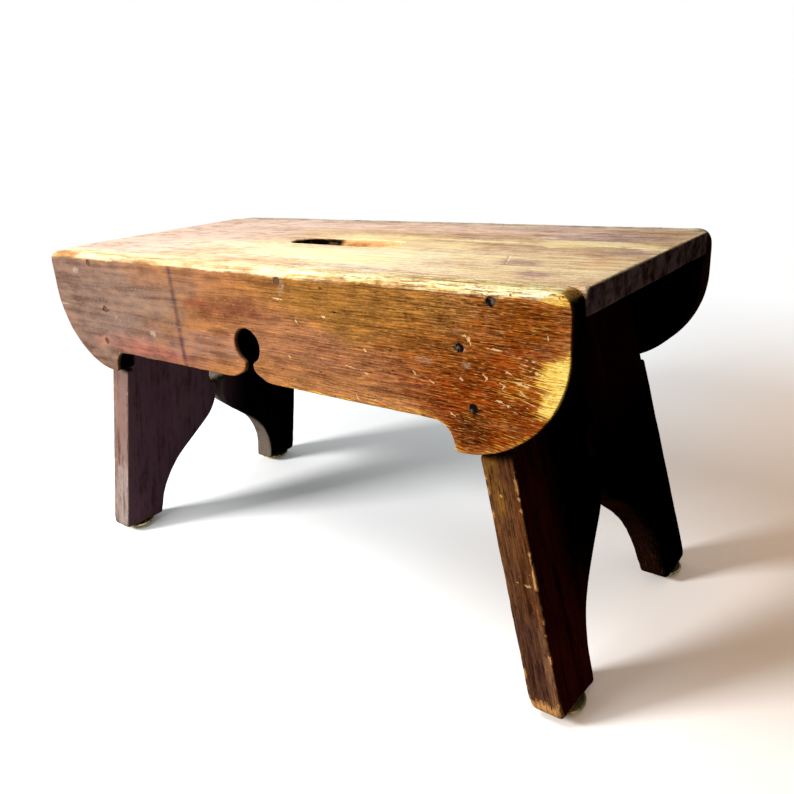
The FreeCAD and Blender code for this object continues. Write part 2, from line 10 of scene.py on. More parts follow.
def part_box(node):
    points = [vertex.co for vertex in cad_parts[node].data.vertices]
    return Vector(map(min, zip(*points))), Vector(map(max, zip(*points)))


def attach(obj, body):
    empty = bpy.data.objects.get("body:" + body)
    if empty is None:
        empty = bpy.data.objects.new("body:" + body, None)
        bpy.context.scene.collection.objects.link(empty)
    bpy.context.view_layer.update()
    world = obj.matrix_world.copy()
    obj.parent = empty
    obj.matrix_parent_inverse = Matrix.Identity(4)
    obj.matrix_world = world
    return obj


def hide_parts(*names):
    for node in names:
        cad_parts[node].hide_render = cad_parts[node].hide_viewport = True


# A worn shoe fitting stool of five pine boards. The five boards are built here as old boards with
# worn arrises, and the nails and glides as their own small pieces. Lengths are in millimetres
# until a mesh is made.
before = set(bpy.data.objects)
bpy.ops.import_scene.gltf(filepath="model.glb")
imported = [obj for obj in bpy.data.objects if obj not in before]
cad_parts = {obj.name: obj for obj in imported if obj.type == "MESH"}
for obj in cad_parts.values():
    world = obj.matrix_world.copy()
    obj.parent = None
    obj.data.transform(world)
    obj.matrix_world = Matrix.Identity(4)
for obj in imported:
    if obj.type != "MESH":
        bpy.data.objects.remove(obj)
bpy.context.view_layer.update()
scene = bpy.context.scene
mm = 0.001


# ---- small helpers ----

def linear(hexColour):
    # sRGB hex to linear: the lower part is a straight line, the rest a power of 2.4
    parts = [int(hexColour[i:i + 2], 16) / 255 for i in (1, 3, 5)]
    return [c / 12.92 if c <= 0.04045 else ((c + 0.055) / 1.055) ** 2.4 for c in parts] + [1.0]


def ease(x, low, high):
    # 0 below low, 1 above high, and 3u^2 - 2u^3 between
    u = np.clip((x - low) / (high - low), 0, 1)
    return u * u * (3 - 2 * u)


def hills(points, size, seed):
    # value noise: random heights from -1 to 1 at the corners of cubes, blended by smooth weights
    q = points / size
    cell = np.floor(q).astype(np.int64)
    u = q - cell
    u = u * u * (3 - 2 * u)
    total = np.zeros(len(points))
    for corner in itertools.product((0, 1), repeat=3):
        c = cell + np.array(corner)
        h = (c[:, 0] * 73856093) ^ (c[:, 1] * 19349663) ^ (c[:, 2] * 83492791) ^ (seed * 2971215073)
        h = ((h ^ (h >> 13)) * 1274126177) & 0x7FFFFFFF
        h = ((h ^ (h >> 15)) * 668265263) & 0x7FFFFFFF
        weight = np.prod(np.where(corner, u, 1 - u), axis=1)
        total += weight * (h / 0x3FFFFFFF - 1)
    return total


def addItem(name, data):
    item = bpy.data.objects.new(name, data)
    scene.collection.objects.link(item)
    return item


def makeMesh(name, points, faces, marks):
    # a smooth piece on the root body; the width of a mark's rows tells its kind of attribute
    mesh = bpy.data.meshes.new(name)
    mesh.from_pydata((points * mm).tolist(), [], faces)
    kinds = {1: ("FLOAT", "value"), 3: ("FLOAT_VECTOR", "vector"), 4: ("FLOAT_COLOR", "color")}
    for key, values in marks.items():
        kind, field = kinds[values.shape[1] if values.ndim == 2 else 1]
        layer = mesh.attributes.new(key, kind, "POINT")
        layer.data.foreach_set(field, values.astype(np.float32).ravel())
    mesh.polygons.foreach_set("use_smooth", [True] * len(mesh.polygons))
    mesh.update()
    piece = addItem(name, mesh)
    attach(piece, "root")
    return piece


# ---- boards ----
# Each board has its own frame: a along the grain, b across it, t from its first face through the
# wood, in millimetres. Its outline and holes are read from its CAD node, so they stay the same.
# Meshing: degrees round an arris, rows beside it, where the inner grid starts, and the width,
# step and arris of a nail hole's loop.
meshing = {"arrisTurns": (25, 50, 72, 90), "support": (0.7, 1.9), "innerFrom": 2.6,
           "nailHole": 12, "holeStep": 0.7, "holeArris": 0.25}
batch = 1500  # points that are compared with the loops at a time


def readLoops(node, origin, axes):
    # the border of a node's triangles that lie in the plane t = 0, as closed loops of (a, b)
    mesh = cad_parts[node].data
    co = np.empty(len(mesh.vertices) * 3, np.float32)
    mesh.vertices.foreach_get("co", co)
    corner = np.empty(len(mesh.loops), np.int32)
    mesh.loops.foreach_get("vertex_index", corner)
    local = (co.reshape(-1, 3).astype(float) / mm - origin) @ axes.T
    merged, index = np.unique(np.round(local, 2), axis=0, return_inverse=True)
    tri = index.ravel()[corner.reshape(-1, 3)]
    tri = tri[(np.abs(merged[:, 2]) < 0.03)[tri].all(axis=1)]
    edges = np.concatenate([tri[:, [0, 1]], tri[:, [1, 2]], tri[:, [2, 0]]])
    seen = set(map(tuple, edges.tolist()))
    follow = {i: j for i, j in seen if (j, i) not in seen}
    loops = []
    while follow:
        start, at = follow.popitem()
        ring = [start]
        while at != start:
            ring.append(at)
            at = follow.pop(at)
        loops.append(merged[ring, :2])
    return sorted(loops, key=lambda ring: -np.ptp(ring[:, 0]) * np.ptp(ring[:, 1]))


def evenly(ring, step):
    # a closed loop resampled at even steps, then eased once so that no corner stays sharp
    closed = np.vstack([ring, ring[:1]])
    run = np.concatenate([[0], np.cumsum(np.linalg.norm(np.diff(closed, axis=0), axis=1))])
    count = max(20, round(run[-1] / step))
    at = np.arange(count) * run[-1] / count
    out = np.stack([np.interp(at, run, closed[:, k]) for k in (0, 1)], axis=1)
    return 0.5 * out + 0.25 * (np.roll(out, 1, axis=0) + np.roll(out, -1, axis=0))


def easeCorners(ring, corners):
    # a loop whose corners at (a, b) are rounded off; each comes with its radius and its two signs
    out = ring.copy()
    for a, b, radius, right, up in corners:
        gap = np.maximum((out - (a - right * radius, b - up * radius)) * (right, up), 0)
        far = np.hypot(*gap.T)
        cut = (gap > 0).all(axis=1) & (far > radius)
        out[cut] -= (gap[cut] * (1 - radius / far[cut, None])) * (right, up)
    return out


def outwards(ring, sign):
    # unit normals of a closed loop, away from the wood
    along = np.roll(ring, -1, axis=0) - np.roll(ring, 1, axis=0)
    normal = np.stack([along[:, 1], -along[:, 0]], axis=1) * sign
    return normal / np.linalg.norm(normal, axis=1, keepdims=True)


def nearest(points, rings):
    # distance from each point to the nearest edge of the loops, and that edge's place in them
    start = np.concatenate(rings)
    along = np.concatenate([np.roll(ring, -1, axis=0) for ring in rings]) - start
    size2 = (along ** 2).sum(axis=1)
    best, which = np.empty(len(points)), np.empty(len(points), int)
    for i in range(0, len(points), batch):
        x = points[i:i + batch, 0, None] - start[:, 0]
        y = points[i:i + batch, 1, None] - start[:, 1]
        u = np.clip((x * along[:, 0] + y * along[:, 1]) / size2, 0, 1)
        far = (x - u * along[:, 0]) ** 2 + (y - u * along[:, 1]) ** 2
        which[i:i + batch] = far.argmin(axis=1)
        best[i:i + batch] = np.sqrt(far.min(axis=1))
    return best, which


def inside(points, rings):
    # even-odd rule over all the loops
    start = np.concatenate(rings)
    stop = np.concatenate([np.roll(ring, -1, axis=0) for ring in rings])
    rise = stop[:, 1] - start[:, 1]
    slope = (stop[:, 0] - start[:, 0]) / np.where(rise == 0, 1, rise)
    odd = np.zeros(len(points), bool)
    for i in range(0, len(points), batch):
        x, y = points[i:i + batch, 0, None], points[i:i + batch, 1, None]
        spans = (start[:, 1] > y) != (stop[:, 1] > y)
        cross = start[:, 0] + (y - start[:, 1]) * slope
        odd[i:i + batch] = (spans & (x < cross)).sum(axis=1) % 2 == 1
    return odd


def facePoints(rings, sign, radii, grid, extra):
    # the free points of one face: rows over the rounded arris, two support rows, an inner grid
    # and the extra points of fine marks. Each comes with its distance to the loops.
    rows, wanted = [], []
    for ring, r in zip(rings, radii):
        normal = outwards(ring, sign)
        insets = [r * (1 - cos(radians(u))) for u in meshing["arrisTurns"]]
        for inset in insets + [r + gap for gap in meshing["support"]]:
            rows.append(ring - normal * inset[:, None])
            wanted.append(inset)
    rows, wanted = np.concatenate(rows), np.concatenate(wanted)
    lo, hi = rings[0].min(axis=0), rings[0].max(axis=0)
    # a grid of equal triangles: its rows are 0.866 of a side apart
    inner = np.stack(np.meshgrid(np.arange(lo[0], hi[0], grid),
                                 np.arange(lo[1], hi[1], grid * 0.866), indexing="ij"), axis=-1)
    inner[:, ::2, 0] += grid / 2
    inner = inner.reshape(-1, 2)
    if len(extra):
        inner = np.vstack([inner, extra])
    points = np.concatenate([rows, inner])
    far, which = nearest(points, rings)
    r = np.concatenate(radii)[which]
    # a row's point that lands nearer to another stretch of the loops is left out
    clear = far[len(rows):] > r[len(rows):] + meshing["innerFrom"]
    keep = np.concatenate([far[:len(rows)] > 0.93 * wanted, clear & inside(inner, rings)])
    return points[keep], far[keep], r[keep], which[keep]


def faceTriangles(rings, free):
    # Delaunay triangles of the loops and the free points, without those outside the wood
    points = np.vstack(rings + [free])
    edges, first = [], 0
    for ring in rings:
        edges += [(first + i, first + (i + 1) % len(ring)) for i in range(len(ring))]
        first += len(ring)
    out = delaunay_2d_cdt([Vector(p) for p in points], edges, [], 0, 1e-6)
    origin = np.array([ids[0] if ids else -1 for ids in out[3]])
    if (origin < 0).any():
        raise RuntimeError("a board's outline crosses itself")
    tri = origin[np.array(out[2])]
    return tri[inside(points[tri].mean(axis=1), rings)]


def buildBoard(node, look):
    axes, origin, thick = np.array(look["axes"], float), np.array(look["origin"]), look["thick"]
    loops = readLoops(node, origin, axes)
    if "outline" in look:
        loops[0] = look["outline"]
    big = np.array([np.ptp(ring[:, 0]) > meshing["nailHole"] for ring in loops])
    rings = [evenly(ring, look["step"] if wide else meshing["holeStep"])
             for ring, wide in zip(loops, big)]
    rings[0] = easeCorners(rings[0], look["corners"])
    flat = np.concatenate(rings)
    count = len(flat)
    sizes = [len(ring) for ring in rings]
    holeWall = np.repeat(~big, sizes)
    x, y = rings[0].T
    area = (x * np.roll(y, -1) - np.roll(x, -1) * y).sum()
    sign = 1 if area > 0 else -1

    arris = []  # radii along the loops, for the face at t = 0 and the one at t = thick
    for side in (0, 1):
        radii = []
        for ring, wide in zip(rings, big):
            where = np.hstack([ring, np.full((len(ring), 1), side * 50.0)])  # other noise per face
            r = look["arris"](ring, side) * (1 + 0.4 * hills(where, 17, look["seed"])
                                             + 0.25 * hills(where, 4, look["seed"] + 1))
            radii.append(np.clip(r, 0.2, 6) if wide else np.full(len(ring), meshing["holeArris"]))
        arris.append(radii)
    r0, r1 = (np.concatenate(radii) for radii in arris)

    # walls: rows of all the loops from the arris of one face to that of the other. Each point has
    # its gap from the arris, and how far it is on a rim or by a nail hole, from 0 to 1.
    walls = max(2, round(thick / look["wallStep"]))
    points, gaps, rims, holes = [], [], [], []
    for k in range(walls + 1):
        t = r0 + (thick - r1 - r0) * k / walls
        points.append(np.hstack([flat, t[:, None]]))
        gaps.append(np.where(holeWall, 9, np.minimum(t - r0, thick - r1 - t)))
        rims.append(1.0 * ~holeWall)
        holes.append(1.0 * holeWall)
    here, ends = np.arange(count), np.cumsum(sizes)
    following = here + 1
    following[ends - 1] = ends - sizes
    strip = np.stack([here, following, following + count, here + count], axis=1)
    shape = np.concatenate([strip + k * count for k in range(walls)])[:, ::sign].tolist()

    used = (walls + 1) * count
    for side in (0, 1):
        extra = look["extra"] if side == 0 else []  # fine marks lie on the first face
        free, far, r, which = facePoints(rings, sign, arris[side], look["grid"][side], extra)
        depth = np.where(far < r, r - np.sqrt(np.maximum(r * r - (r - far) ** 2, 0)), 0)
        points.append(np.hstack([free, (depth if side == 0 else thick - depth)[:, None]]))
        gaps.append(np.where(holeWall[which], 9, np.maximum(far - 0.5 * r, 0)))
        rims.append(np.where(holeWall[which], 0, 1 - ease(far, 0.3 * r, r + 0.3)))
        holes.append(np.where(holeWall[which], 1 - ease(far, 0.2, 2.2), 0))
        ids = np.concatenate([here + side * walls * count, used + np.arange(len(free))])
        used += len(free)
        shape += ids[faceTriangles(rings, free)][:, ::1 if side else -1].tolist()
    points = np.vstack(points)
    gaps, rims, holes = (np.concatenate(parts) for parts in (gaps, rims, holes))
    if np.linalg.det(axes) < 0:
        shape = [face[::-1] for face in shape]

    marks = {key: 0 * gaps for key in ("dark", "crisp", "specks", "dent")}
    marks.update(look["wear"](points, gaps, rims))
    marks["dark"] = np.maximum(marks["dark"], marks.pop("iron", 0.3) * holes)

    # old wood: hollows and ridges along the grain, dents, and arrises that wander
    out = np.where(points[:, 2] < thick / 2, 1, -1) * ease(gaps, 0, 4)
    worn = points.copy()
    worn[:, 2] += out * (0.10 * hills(points, 22, 5) + 0.05 * hills(points * [0.15, 1, 1], 3, 6)
                         + marks.pop("dent"))
    worn[:, :2] += (0.12 * hills(points, 6, 9) * (1 - ease(gaps, 0.2, 1.2)))[:, None]
    if "level" in look:  # a leaning leg is cut level at both ends
        up, stop = points[:, 0], look["level"]["top"]
        ends = 1 - ease(up, 0, 14) * (1 - ease(up, stop - 16, stop - 4))
        worn[:, 0] -= points[:, 2] * look["level"]["slope"] * ends
    marks["board"] = points * mm
    piece = makeMesh(node + "_worn", worn @ axes + origin, shape, marks)
    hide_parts(node)
    print(node, "points", len(points), "faces", len(shape))
    return piece


def oval(points, place, size, turn=0.0, ragged=0.35):
    # a soft oval with a ragged rim: 1 in its middle, 0 past its edge
    c, s = cos(radians(turn)), sin(radians(turn))
    x, y = points[:, 0] - place[0], points[:, 1] - place[1]
    u = np.hypot((x * c + y * s) / size[0], (y * c - x * s) / size[1])
    rough = hills(points * [0.4, 1, 1], 0.6 * size[1] + 2, 71) + 0.5 * hills(points, 2.5, 72)
    return 1 - ease(u + ragged * rough, 0.3, 1.1)


def blend(tone, cover, colour):
    # lays one colour, or the tones of another list of patches, over the tones by a cover of 0 to 1
    over = np.array(linear(colour)) if isinstance(colour, str) else colour
    cover = np.clip(cover, 0, 1)[:, None]
    tone[:] = tone * (1 - cover) + over * cover


def layTones(points, base, patches):
    # the colour of the stain at each point: patches of other tones laid over the base tone
    tone = np.tile(linear(base), (len(points), 1))
    for a, b, long, high, colour, strength, *turn in patches:
        blend(tone, strength * oval(points, (a, b), (long, high), *turn), colour)
    return tone


def layMarks(points, marks, ragged=0.35):
    # the strongest of a list of soft ovals at each point
    total = np.zeros(len(points))
    for a, b, long, high, strength, *turn in marks:
        cover = oval(points, (a, b), (long, high), *turn, ragged=ragged)
        total = np.maximum(total, strength * cover)
    return total


def fineStrokes(strokes):
    # extra points along and beside each fine stroke, 0.7 mm apart, so that the mesh can show it
    out = []
    for a0, b0, a1, b1, width in strokes:
        length = max(hypot(a1 - a0, b1 - b0), 0.01)
        u = np.linspace(0, 1, max(2, int(length / 0.7) + 1))[:, None]
        line = np.array([[a0, b0]]) * (1 - u) + np.array([[a1, b1]]) * u
        side = np.array([b0 - b1, a1 - a0]) / length * width
        out += [line + side * k for k in (-1.3, -0.6, 0, 0.6, 1.3)]
    return np.vstack(out)


def layStrokes(points, strokes):
    # 1 along each fine stroke, 0 beside it, broken up by noise
    total = np.zeros(len(points))
    at = np.hstack([points[:, :2], np.zeros((len(points), 1))])
    shake = 0.25 * hills(at, 1.6, 81) + 0.2 * hills(at, 5, 82)
    for a0, b0, a1, b1, width in strokes:
        along = np.array([a1 - a0, b1 - b0])
        gap = points[:, :2] - (a0, b0)
        u = np.clip(gap @ along / max(along @ along, 1e-9), 0, 1)
        far = np.linalg.norm(gap - u[:, None] * along, axis=1) + shake
        total = np.maximum(total, 1 - ease(far, 0.3 * width, 1.2 * width))
    return total


stool = {"width": 187.5, "height": 222.7, "apronLength": 400, "seatLength": 402,
         "apronThick": 13.4, "seatThick": 12.8, "legThick": 18, "splay": radians(13)}
half = stool["width"] / 2
top = stool["height"]

# A wear function gives, for every point of a board, what its material reads: tone, the colour of
# the stain, with painted shade laid into it on walls, inner faces, the seat's underside and the
# right leg; bare, where it is rubbed off; dark, dirt and the iron stain round the nails; pale,
# milky worn spots, and on the front apron also a painted sheen and highlight; scratch; crisp, how
# much the fine grain, nicks and pits show; specks, the same for light specks. dent is a depth in
# mm, and iron a strength. About 0.5 shows a mark, and below 0 the material's own noise can't bring
# one up.

# Places on an apron are millimetres from its middle, and down from its top edge: a, down, half
# length, half height, the tone if any, the strength, and a turn in degrees if any.
frontMarks = {
    "tones": [
        (-150, 40, 110, 70, "#755d51", 1), (-95, 18, 60, 26, "#7e685a", 0.7),
        (-130, 50, 40, 22, "#7d655a", 0.6), (-110, 60, 80, 8, "#916457", 0.7),
        (-95, 62, 60, 5, "#97594d", 0.6), (-70, 12, 50, 9, "#8b6247", 0.6),
        (-14, 25, 64, 7, "#73432f", 0.8), (-40, 50, 60, 12, "#8c695c", 0.6),
        (20, 8, 60, 6, "#8d5e41", 0.7), (100, 14, 105, 24, "#8d622c", 0.9),
        (40, 42, 70, 16, "#94664a", 0.7), (95, 45, 60, 14, "#8a563a", 0.6),
        (162, 54, 70, 38, "#74320c", 1, -10), (125, 32, 45, 12, "#814d1b", 0.6),
        (185, 15, 34, 16, "#743906", 0.9), (60, 63.5, 105, 5, "#a77248", 0.9),
        (150, 66, 12, 10, "#3e1b0a", 0.7), (165, 8, 20, 5, "#603209", 0.6)],
    "bare": [
        (206, 35, 26, 16, 1.6, 12), (203, 46, 23, 12, 1.5, 20), (188, 40, 34, 15, 0.42, 8),
        (196, 3, 20, 5, 0.8, 4), (140, 80, 20, 1.8, 0.5), (170, 77, 14, 1.5, 0.5, -35),
        (165, 30, 24, 4, 0.3, -8), (165, 60, 30, 14, 0.2)],
    "dark": [
        (-143, 37.7, 10, 1.8, 0.7), (-157, 61, 4, 1.3, 0.6, 20), (162, 6, 5, 1.8, 1, 8),
        (144.5, 29.0, 6, 2.0, 1), (153, 58.5, 4.5, 2.4, 0.9), (61, 7.5, 3.5, 0.9, 0.9),
        (150, 66, 7, 7, 0.3)],
    # pale: milky worn spots; the broad ovals at -120 and -30 are a painted sheen on the left half,
    # and the thin smear at -193 is a painted highlight
    "pale": [
        (-170, 12, 6, 3, 0.7), (-91, 49, 4.5, 3, 0.9), (-104, 53.5, 6, 3.5, 0.6),
        (-193, 37.5, 12, 2, 0.8), (-165, 48, 9, 4, 0.4), (33, 9, 3.5, 7, 0.5, -20),
        (145, 21, 8, 2.5, 0.5), (125, 38, 9, 3, 0.6), (148, 37, 4, 3, 0.6),
        (147.5, 29.6, 2, 1.2, 0.8), (150.5, 58, 2.2, 2, 1), (-63, 20, 5, 14, 0.25),
        (-120, 30, 80, 40, 0.34), (-30, 20, 60, 20, 0.3), (-129, 42, 8, 1, 0.7, -18)],
}
# the bright top band of the front apron: tones as above, in down less t, so that they run over
# the top edge
topMarks = [
    (-120, 0, 80, 9, "#e2b98c", 0.8), (-190, 2, 26, 9, "#b07c46", 0.85),
    (-120, -4, 40, 3, "#cdb689", 0.6), (-90, 2, 40, 1.5, "#bf8c4c", 0.7),
    (-20, 1, 60, 1.2, "#c6995b", 0.6), (60, 2.4, 50, 1.2, "#bf863c", 0.7),
    (120, 2, 60, 1.5, "#b78238", 0.7), (150, -6, 60, 4, "#cbb06e", 0.7)]
# light scratches and chips, and dark pin holes: from (a, down) to (a, down), half width
frontScratches = [
    (25, 15.7, 32, 16.2, 0.4), (41, 26, 44, 31, 0.2), (75, 47, 82, 48.5, 0.25),
    (84, 48, 89, 50, 0.25), (61, 22.5, 62.5, 23, 0.7), (88, 37, 89, 38, 0.6),
    (33, 47.5, 34, 48.5, 0.5), (80, 62, 81, 65, 0.25), (87, 64, 93, 63, 0.2),
    (157.5, 40.3, 159.5, 42, 0.6), (159.5, 41, 158.5, 43, 0.3), (166, 43, 168.5, 44.2, 0.4),
    (168, 43.6, 167, 45.5, 0.3), (170, 37.5, 173, 38.6, 0.25), (176, 45.5, 178, 47, 0.55),
    (177, 47, 180, 48, 0.25), (160, 27.7, 170, 27.9, 0.18), (168, 28.3, 182, 31, 0.2),
    (176, 32.5, 184, 33.7, 0.2), (148, 23, 150, 25.5, 0.25), (150, 24, 151, 27, 0.2),
    (128, 47.5, 130, 48.5, 0.4), (160, 63, 162, 64.5, 0.25), (189, 18, 189.4, 20.5, 0.35),
    (118, 44, 119, 45, 0.4), (145, 44, 146.5, 44.5, 0.3), (139, 62, 141, 63, 0.35),
    (173, 29.6, 185, 31.3, 0.16), (175, 34.2, 187, 36, 0.16), (171, 36, 181, 38, 0.18),
    (172, 41, 183, 43.5, 0.16), (181, 43.4, 189, 45.6, 0.2), (176, 49, 185, 51.5, 0.2),
    (179, 52.4, 187, 55, 0.2), (173, 55.5, 182, 58.2, 0.2), (164, 51.5, 171, 53.4, 0.18)]
frontPins = [
    (190, 1.4, 193, 1, 0.3), (194, 2.4, 196.5, 1.6, 0.3), (186, 2.0, 188, 2.2, 0.25),
    (131, 4.2, 131.6, 4.2, 0.6), (84, 3.4, 84.6, 3.4, 0.5), (69.5, 20, 70.5, 20, 0.5),
    (145, 3.5, 145.5, 3.5, 0.4), (171, 2.8, 171.5, 2.8, 0.5), (176, 3.2, 176.5, 3.2, 0.4),
    (55, 53.5, 56, 54, 0.5), (-99, 3, -98.5, 3, 0.3), (105, 46, 106, 46, 0.4)]


def fromTop(rows, ends=1):
    # rows given down from the top edge, turned into heights
    return [(row[0], top - row[1], *((row[2], top - row[3], *row[4:]) if ends == 2 else row[2:]))
            for row in rows]


def frontWear(points, gaps, rims):
    a, b, t = points.T
    down = top - b
    face = 1 - ease(t, 1.5, 6)
    scratches = layStrokes(points, fromTop(frontScratches, 2)) * face
    pins = layStrokes(points, fromTop(frontPins, 2)) * face
    bare = layMarks(points, fromTop(frontMarks["bare"]), 0.12) * face
    # the top edge is rubbed pale down to a sharp line, and the arrises are chipped in places, but
    # not round the keyhole
    band = 1 - ease(down + 0.5 * hills(points * [0.2, 1, 1], 5, 3), 3.2, 4.2)
    rubbed = ease(hills(points, 9, 4) + 0.6 * hills(points, 2.5, 5), -0.2, 0.8)
    place = np.interp(a, [-200, -60, 60, 140, 180, 200], [0.2, 0.3, 0.6, 1.0, 0.7, 0.35])
    hole = 1 - ease(np.hypot(a, (down - 52) * 0.7), 13, 16)
    chips = (1 - ease(gaps, 0.1, 2.0)) * place * rubbed * (1 - band) * (1 - hole)
    low = (1 - ease(gaps, 0.5, 5)) * ease(down, 55, 62) * 0.4 * ease(a, -60, 60)
    # a long dark line slants down the board
    line = (1 - ease(np.abs(a + 64.2 - down * 0.043), 0.6, 3.2)) * face * (1 - band)
    dark = np.maximum(layMarks(points, fromTop(frontMarks["dark"])) * face, pins)
    tone = layTones(points, "#96653f", fromTop(frontMarks["tones"]))
    blend(tone, band, layTones(np.stack([a, down - t, 0 * t], axis=1), "#ecd8aa", topMarks))
    blend(tone, 0.8 * line * (0.8 + 0.3 * hills(points, 3, 6)), "#4a3438")
    # painted shade: the walls are painted dark, darkest in the keyhole, and the bright band browns
    # towards its right end
    end = ease(a, 194, 198)
    walls = rims * ease(t + 0.8 * end, 0.8, 2.2)
    walls *= 1 - band * (1 - ease(a, 198.6, 199.6))
    blend(tone, 0.85 * band * ease(a + 2 * hills(points, 4, 8), 190, 196), "#9c6428")
    blend(tone, walls, "#170b07")
    keyhole = walls * (1 - ease(np.hypot(a, (down - 47) * 0.7), 12, 14))
    # painted shade: the keyhole is painted black
    blend(tone, keyhole, "#060302")
    # how far the noise is kept from showing bare wood: on the left half and on the walls
    kept = 0.3 * (1 - ease(a, -80, 40)) + 0.5 * walls
    crisp = np.interp(a, [-160, -40, 80, 150], [-0.4, -0.06, 0.0, 0.04])
    return {"bare": np.maximum.reduce([bare, 0.2 * band, chips, low]) * (1 - walls) - kept,
            "iron": np.interp(a, [-60, 100], [0.15, 0.55]), "scratch": scratches, "dark": dark,
            "pale": layMarks(points, fromTop(frontMarks["pale"])) * face, "tone": tone,
            "crisp": crisp * (1 - walls) - 0.5 * walls,
            "specks": -0.5 * walls - 0.5 * ease(t, 9, 12),
            "dent": 0.25 * scratches + 0.6 * pins + 0.35 * ease(dark, 0.6, 1.0) * face}


rearTones = [
    (-120, 40, 90, 50, "#7c4426", 0.9), (110, 30, 80, 30, "#9a6230", 0.8),
    (20, 55, 90, 16, "#6a3418", 0.8), (-40, 15, 60, 16, "#a06a3c", 0.6),
    (150, 60, 60, 24, "#6c3416", 0.8)]
rearBare = [(-196, 44, 22, 16, 0.75), (192, 5, 20, 5, 0.8), (-100, 66, 60, 3, 0.6)]
rearScratches = [
    (-150, 30, -120, 33, 0.4), (-60, 20, -20, 22, 0.35), (40, 44, 75, 41, 0.4),
    (100, 30, 112, 34, 0.4), (130, 52, 160, 50, 0.4), (-110, 55, -96, 58, 0.4)]


def rearWear(points, gaps, rims):
    a, b, t = points.T
    down = top - b
    face = 1 - ease(t, 1.5, 6)
    inner = ease(t, 9, 12.5)  # the face towards the seat and the legs, painted dark as shade
    band = 1 - ease(down + 0.6 * hills(points * [0.2, 1, 1], 5, 13), 1.5, 3.5)
    rubbed = ease(hills(points, 9, 14) + 0.6 * hills(points, 2.5, 15), -0.1, 0.9)
    chips = (1 - ease(gaps, 0.1, 1.6)) * rubbed * 0.8 * (1 - inner)
    scratches = layStrokes(points, fromTop(rearScratches, 2)) * face
    tone = layTones(points, "#9c6236", fromTop(rearTones))
    # painted shade: the inner face nearly black below its top edge, and the walls dark brown
    blend(tone, inner * ease(down, 1, 3), "#0e0705")
    blend(tone, rims * ease(t, 0.8, 2.2), "#3c2216")
    blend(tone, band, "#d2bda8")
    return {"bare": np.maximum.reduce([layMarks(points, fromTop(rearBare)) * face,
                                       chips * (1 - band)]) - 0.5 * band - 0.6 * inner,
            "scratch": scratches, "pale": 0.3 * oval(points, (40, top - 32), (30, 12)),
            "tone": tone, "dent": 0.2 * scratches, "specks": -0.5 * inner, "crisp": -0.3 * inner}


# Places on the seat are millimetres from its middle, +b to the rear.
seatTones = [
    (-150, 0, 90, 110, "#e3c6b5", 0.9), (25, -48, 145, 38, "#f8ebc9", 0.9),
    (148, 40, 38, 36, "#b79c96", 1), (80, 20, 24, 9, "#c4a79c", 1),
    (60, 62, 130, 26, "#f5d2be", 0.8), (-90, 60, 110, 26, "#f4d5c4", 0.8),
    (-60, 74, 50, 6, "#d9b8ab", 0.7), (160, -46, 60, 40, "#ffe4b4", 0.8),
    (110, 66, 34, 12, "#cfb0a3", 0.7), (-70, 15, 26, 6, "#d6b9ab", 0.6),
    (-180, -60, 24, 30, "#d1b7a6", 0.6), (145, -38, 20, 9, "#be9b8e", 1),
    (165, -62, 15, 8, "#be9a8e", 1), (188, 0, 18, 9, "#bfa096", 1),
    (64, -78, 44, 5, "#e0cfc6", 0.9), (120, -14, 30, 8, "#eacaa9", 0.7),
    (185, -30, 16, 20, "#eab68c", 0.7), (175, 66, 26, 8, "#d19f82", 0.6)]
seatBare = [
    (30, -45, 135, 36, 0.65), (145, 20, 80, 13, 1.5, 3), (20, 18, 70, 14, 0.9),
    (192, -40, 12, 50, 0.4), (60, 0, 70, 20, 0.8), (150, -60, 60, 16, 0.5),
    (130, -30, 60, 24, 0.35), (-120, -20, 60, 20, 0.4)]
seatScratches = [
    (118, 40, 128, 37, 1.1), (132, -24, 140, -42, 0.2), (150, -10, 172, -12, 0.4),
    (-20, -60, 10, -62, 0.4), (60, -35, 92, -38, 0.4), (0, 52, 22, 50, 0.4),
    (100, -66, 130, -64, 0.4), (165, 18, 188, 14, 0.4), (-120, -40, -90, -42, 0.4)]


def seatWear(points, gaps, rims):
    a, b, t = points.T
    face = 1 - ease(t, 1, 5)
    # the end walls, the underside and the slot's wall keep their stain; the underside and the
    # slot's left end are painted dark as shade
    end = ease(np.abs(a), 199.9, 200.5) * ease(t, 0.3, 0.9)
    under = ease(t, 8, 11.5)
    slot = ease(t, 0.4, 1.2) * (np.hypot(a * 0.4, b) < 22) * np.where(t > 11.5, rims, 1)
    hidden = np.maximum.reduce([end, under, slot])
    # the top is rubbed bare in streaks along the grain, and along its end arrises
    streaks = 0.5 + 0.5 * hills(points * [0.12, 1, 1], 7, 21)
    streaks += 0.3 * hills(points * [0.1, 1, 1], 2.5, 22)
    rim = (1 - ease(gaps, 0.2, 2.5)) * ease(np.abs(a), 196, 199)
    bare = np.maximum(layMarks(points, seatBare) * (0.6 + 0.5 * streaks), 0.6 * rim)
    scratches = layStrokes(points, seatScratches) * face
    tone = layTones(points, "#dcba94", seatTones)
    # painted shade on the underside, but not in the slot
    blend(tone, under * (1 - slot), "#1c110c")
    blend(tone, end * (a > 0), "#a07c7c")
    blend(tone, end * (a < 0), "#7a5440")
    mottled = ease(hills(points, 6, 23) + 0.7 * hills(points, 2.2, 24), -0.5, 0.7)
    blend(tone, 0.85 * end * mottled, "#38241c")
    blend(tone, slot, "#d8a268")
    blend(tone, slot * (1 - ease(a + t, -10, -3)), "#0a0504")  # painted shade at the slot's left end
    crisp = np.interp(a, [-100, 0, 100, 180], [-0.2, -0.1, 0.0, 0.04])
    return {"bare": bare * (1 - hidden) - 0.9 * hidden, "scratch": scratches, "tone": tone,
            "crisp": crisp - 0.2 * end, "pale": 0.5 * oval(points, (122, 38), (6, 2)) * face,
            "dent": 0.2 * scratches}
